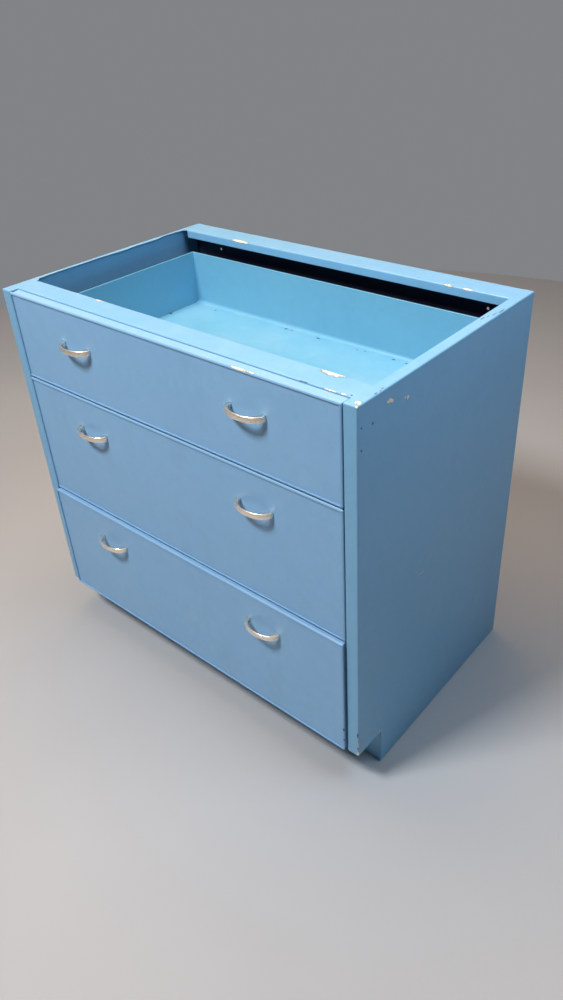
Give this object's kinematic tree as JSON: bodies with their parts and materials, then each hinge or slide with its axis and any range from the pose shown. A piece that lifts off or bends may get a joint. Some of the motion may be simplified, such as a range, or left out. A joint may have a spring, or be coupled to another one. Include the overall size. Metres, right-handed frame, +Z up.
{
  "type": "drawer cabinet",
  "caption": "Blue painted sheet-steel base cabinet with sliding drawers, arched metal pulls, a recessed toe space and an open top.",
  "frame": {"origin": "on the floor, under the centre of the outline that the body, the pulls and the ajar bottom drawer make together", "axes": "+X to the cabinet's right as seen from the front, -Y out of the drawer fronts, +Z up"},
  "size_m": [0.9144, 0.6036, 0.8763],
  "materials": {
    "cabinet_paint": "satin sky-blue enamel, worn and chipped at the edges",
    "drawer_paint": "satin sky-blue enamel on the drawer fronts",
    "tray_paint": "satin sky-blue enamel inside the drawers",
    "pull_metal": "satin nickel on die-cast metal",
    "slide_steel": "zinc-plated sheet",
    "fastener_steel": "zinc plated",
    "roller_nylon": "natural nylon",
    "bumper_rubber": "matte black"
  },
  "bodies": {
    "cabinet": {"left_side_panel": "cabinet_paint", "right_side_panel": "cabinet_paint", "back_panel": "cabinet_paint", "base_pan": "cabinet_paint", "toe_plate": "cabinet_paint", "front_top_rail": "cabinet_paint", "back_top_rail": "cabinet_paint", "upper_cross_rail": "cabinet_paint", "lower_cross_rail": "cabinet_paint", "slide_posts": "slide_steel", "corner_gussets": "slide_steel", "levelling_screws": "fastener_steel", "levelling_nuts": "fastener_steel", "track_axles": "fastener_steel", "top_left_track": "slide_steel", "top_right_track": "slide_steel", "middle_left_track": "slide_steel", "middle_right_track": "slide_steel", "bottom_left_track": "slide_steel", "bottom_right_track": "slide_steel"},
    "top_drawer": {"top_front": "drawer_paint", "top_liner": "drawer_paint", "top_tray": "tray_paint", "top_runners": "slide_steel", "top_runner_axles": "fastener_steel", "top_left_pull": "pull_metal", "top_right_pull": "pull_metal", "top_pull_screws": "fastener_steel", "top_bumpers": "bumper_rubber"},
    "middle_drawer": {"middle_front": "drawer_paint", "middle_liner": "drawer_paint", "middle_tray": "tray_paint", "middle_runners": "slide_steel", "middle_runner_axles": "fastener_steel", "middle_left_pull": "pull_metal", "middle_right_pull": "pull_metal", "middle_pull_screws": "fastener_steel", "middle_bumpers": "bumper_rubber"},
    "bottom_drawer": {"bottom_front": "drawer_paint", "bottom_liner": "drawer_paint", "bottom_tray": "tray_paint", "bottom_runners": "slide_steel", "bottom_runner_axles": "fastener_steel", "bottom_left_pull": "pull_metal", "bottom_right_pull": "pull_metal", "bottom_pull_screws": "fastener_steel", "bottom_bumpers": "bumper_rubber"},
    "top_left_track_roller": {"top_left_track_roller": "roller_nylon"},
    "top_left_runner_roller": {"top_left_runner_roller": "roller_nylon"},
    "top_right_track_roller": {"top_right_track_roller": "roller_nylon"},
    "top_right_runner_roller": {"top_right_runner_roller": "roller_nylon"},
    "middle_left_track_roller": {"middle_left_track_roller": "roller_nylon"},
    "middle_left_runner_roller": {"middle_left_runner_roller": "roller_nylon"},
    "middle_right_track_roller": {"middle_right_track_roller": "roller_nylon"},
    "middle_right_runner_roller": {"middle_right_runner_roller": "roller_nylon"},
    "bottom_left_track_roller": {"bottom_left_track_roller": "roller_nylon"},
    "bottom_left_runner_roller": {"bottom_left_runner_roller": "roller_nylon"},
    "bottom_right_track_roller": {"bottom_right_track_roller": "roller_nylon"},
    "bottom_right_runner_roller": {"bottom_right_runner_roller": "roller_nylon"}
  },
  "joints": [
    {"name": "top_drawer_slide", "type": "slide", "parent": "cabinet", "child": "top_drawer", "axis": [0, -1, 0], "range_m": [0, 0.4]},
    {"name": "middle_drawer_slide", "type": "slide", "parent": "cabinet", "child": "middle_drawer", "axis": [0, -1, 0], "range_m": [0, 0.4]},
    {"name": "bottom_drawer_slide", "type": "slide", "parent": "cabinet", "child": "bottom_drawer", "axis": [0, -1, 0], "range_m": [-0.007, 0.393]},
    {"name": "top_left_track_roller_spin", "type": "hinge", "parent": "cabinet", "child": "top_left_track_roller", "pos_m": [-0.4247, -0.22375, 0.72825], "axis": [1, 0, 0], "continuous": true},
    {"name": "top_left_runner_roller_spin", "type": "hinge", "parent": "top_drawer", "child": "top_left_runner_roller", "pos_m": [-0.4247, 0.20575, 0.72825], "axis": [1, 0, 0], "continuous": true},
    {"name": "top_right_track_roller_spin", "type": "hinge", "parent": "cabinet", "child": "top_right_track_roller", "pos_m": [0.4247, -0.22375, 0.72825], "axis": [1, 0, 0], "continuous": true},
    {"name": "top_right_runner_roller_spin", "type": "hinge", "parent": "top_drawer", "child": "top_right_runner_roller", "pos_m": [0.4247, 0.20575, 0.72825], "axis": [1, 0, 0], "continuous": true},
    {"name": "middle_left_track_roller_spin", "type": "hinge", "parent": "cabinet", "child": "middle_left_track_roller", "pos_m": [-0.4247, -0.22375, 0.43605], "axis": [1, 0, 0], "continuous": true},
    {"name": "middle_left_runner_roller_spin", "type": "hinge", "parent": "middle_drawer", "child": "middle_left_runner_roller", "pos_m": [-0.4247, 0.20575, 0.43605], "axis": [1, 0, 0], "continuous": true},
    {"name": "middle_right_track_roller_spin", "type": "hinge", "parent": "cabinet", "child": "middle_right_track_roller", "pos_m": [0.4247, -0.22375, 0.43605], "axis": [1, 0, 0], "continuous": true},
    {"name": "middle_right_runner_roller_spin", "type": "hinge", "parent": "middle_drawer", "child": "middle_right_runner_roller", "pos_m": [0.4247, 0.20575, 0.43605], "axis": [1, 0, 0], "continuous": true},
    {"name": "bottom_left_track_roller_spin", "type": "hinge", "parent": "cabinet", "child": "bottom_left_track_roller", "pos_m": [-0.4247, -0.22375, 0.14385], "axis": [1, 0, 0], "continuous": true},
    {"name": "bottom_left_runner_roller_spin", "type": "hinge", "parent": "bottom_drawer", "child": "bottom_left_runner_roller", "pos_m": [-0.4247, 0.19875, 0.14385], "axis": [1, 0, 0], "continuous": true},
    {"name": "bottom_right_track_roller_spin", "type": "hinge", "parent": "cabinet", "child": "bottom_right_track_roller", "pos_m": [0.4247, -0.22375, 0.14385], "axis": [1, 0, 0], "continuous": true},
    {"name": "bottom_right_runner_roller_spin", "type": "hinge", "parent": "bottom_drawer", "child": "bottom_right_runner_roller", "pos_m": [0.4247, 0.19875, 0.14385], "axis": [1, 0, 0], "continuous": true}
  ],
  "couplings": [
    {"joint": "top_left_track_roller_spin", "follows": "top_drawer_slide", "rad_per_m": 90.909},
    {"joint": "top_left_runner_roller_spin", "follows": "top_drawer_slide", "rad_per_m": 90.909},
    {"joint": "top_right_track_roller_spin", "follows": "top_drawer_slide", "rad_per_m": 90.909},
    {"joint": "top_right_runner_roller_spin", "follows": "top_drawer_slide", "rad_per_m": 90.909},
    {"joint": "middle_left_track_roller_spin", "follows": "middle_drawer_slide", "rad_per_m": 90.909},
    {"joint": "middle_left_runner_roller_spin", "follows": "middle_drawer_slide", "rad_per_m": 90.909},
    {"joint": "middle_right_track_roller_spin", "follows": "middle_drawer_slide", "rad_per_m": 90.909},
    {"joint": "middle_right_runner_roller_spin", "follows": "middle_drawer_slide", "rad_per_m": 90.909},
    {"joint": "bottom_left_track_roller_spin", "follows": "bottom_drawer_slide", "rad_per_m": 90.909},
    {"joint": "bottom_left_runner_roller_spin", "follows": "bottom_drawer_slide", "rad_per_m": 90.909},
    {"joint": "bottom_right_track_roller_spin", "follows": "bottom_drawer_slide", "rad_per_m": 90.909},
    {"joint": "bottom_right_runner_roller_spin", "follows": "bottom_drawer_slide", "rad_per_m": 90.909}
  ]
}
